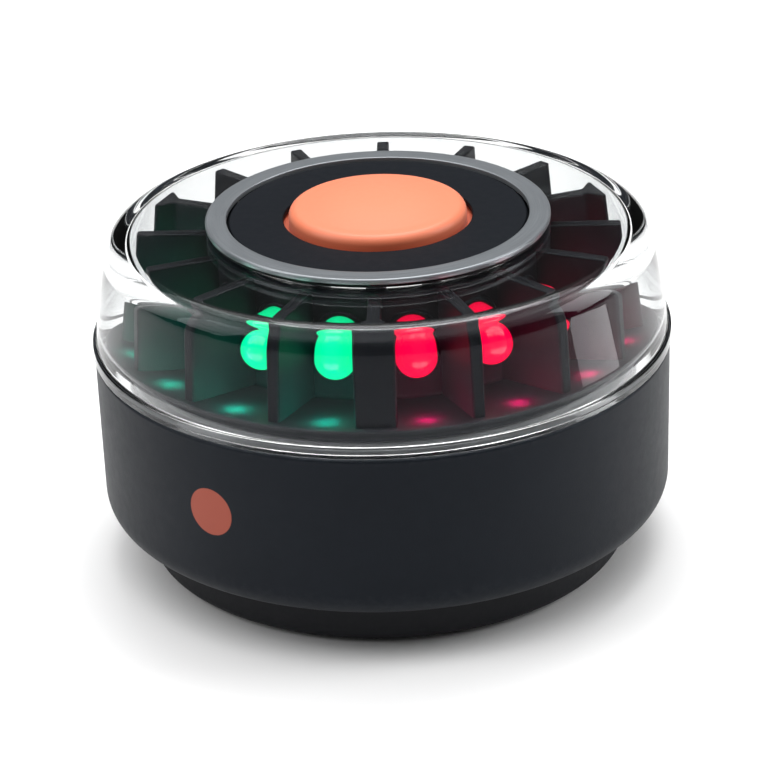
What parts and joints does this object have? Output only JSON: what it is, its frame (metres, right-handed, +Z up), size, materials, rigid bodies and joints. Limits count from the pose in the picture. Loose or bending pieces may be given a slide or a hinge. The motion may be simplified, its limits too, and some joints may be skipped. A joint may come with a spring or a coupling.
{
  "type": "navigation light",
  "caption": "Round battery tricolour boat navigation light: clear lens over green, red and white lamps between black fins, orange push button on top, turned battery cap, magnetic foot.",
  "frame": {"origin": "centre of the foot's underside, where the light stands", "axes": "+Z up out of the button; -Y towards the bow, -X starboard (green), +X port (red)"},
  "size_m": [0.075, 0.075, 0.0476],
  "materials": {
    "orange_rubber": "matte silicone, moulded",
    "black_rubber": "matte",
    "black_shell": "soft-touch matte",
    "black_crown": "fine moulded matte",
    "satin_ring": "satin silver",
    "clear_lens": "clear polycarbonate, polished",
    "grey_seal": "matte",
    "green_led": "clear tinted epoxy",
    "red_led": "clear tinted epoxy",
    "white_led": "clear epoxy",
    "board_green": "solder mask",
    "grey_plastic": "moulded",
    "cell_sleeve": "printed sleeve on a metal can",
    "nickel": "nickel plated",
    "steel": "zinc plated",
    "red_wire": "insulated wire",
    "black_wire": "insulated wire"
  },
  "bodies": {
    "housing": {"body_shell": "black_shell", "lens_seal": "grey_seal", "lens": "clear_lens", "light_crown": "black_crown", "ring_gasket": "black_rubber", "trim_ring": "satin_ring", "top_disc": "black_rubber", "led_board": "board_green", "switch_body": "grey_plastic", "battery_tray": "grey_plastic", "wire_negative": "black_wire", "wire_positive": "red_wire", "contact_positive": "nickel", "contact_negative": "nickel", "contact_bridge_1": "nickel", "contact_bridge_2": "nickel", "crown_screw_1": "steel", "crown_screw_2": "steel", "crown_screw_3": "steel", "crown_screw_4": "steel", "battery_cell_1": "cell_sleeve", "battery_spring_1": "nickel", "battery_cell_2": "cell_sleeve", "battery_spring_2": "nickel", "battery_cell_3": "cell_sleeve", "battery_spring_3": "nickel", "led_green_1": "green_led", "led_green_2": "green_led", "led_green_3": "green_led", "led_green_4": "green_led", "led_green_5": "green_led", "led_red_1": "red_led", "led_red_2": "red_led", "led_red_3": "red_led", "led_red_4": "red_led", "led_red_5": "red_led", "led_white_1": "white_led", "led_white_2": "white_led", "led_white_3": "white_led", "led_white_4": "white_led", "led_white_5": "white_led", "led_white_6": "white_led"},
    "button": {"button": "orange_rubber"},
    "plunger": {"switch_plunger": "grey_plastic"},
    "battery_cap": {"battery_cap": "black_shell", "cap_steel_plate": "steel", "cap_seal": "black_rubber"},
    "magnetic_foot": {"foot_shell": "black_rubber", "foot_pad": "black_rubber", "foot_magnet_1": "nickel", "foot_magnet_2": "nickel", "foot_magnet_3": "nickel", "foot_magnet_4": "nickel", "foot_magnet_5": "nickel", "foot_magnet_6": "nickel"}
  },
  "joints": [
    {"name": "button_press", "type": "slide", "parent": "housing", "child": "button", "axis": [0, 0, -1], "range_m": [0, 0.0008], "stiffness_N_per_m": 2000},
    {"name": "plunger_press", "type": "slide", "parent": "housing", "child": "plunger", "axis": [0, 0, -1], "range_m": [0, 0.0008]},
    {"name": "cap_turn", "type": "hinge", "parent": "housing", "child": "battery_cap", "pos_m": [0, 0, 0.0064], "axis": [0, 0, 1], "range_deg": [0, 60]},
    {"name": "foot_pull", "type": "slide", "parent": "battery_cap", "child": "magnetic_foot", "axis": [0, 0, -1], "range_m": [0, 0.03]}
  ],
  "couplings": [
    {"joint": "plunger_press", "follows": "button_press", "ratio": 1}
  ]
}
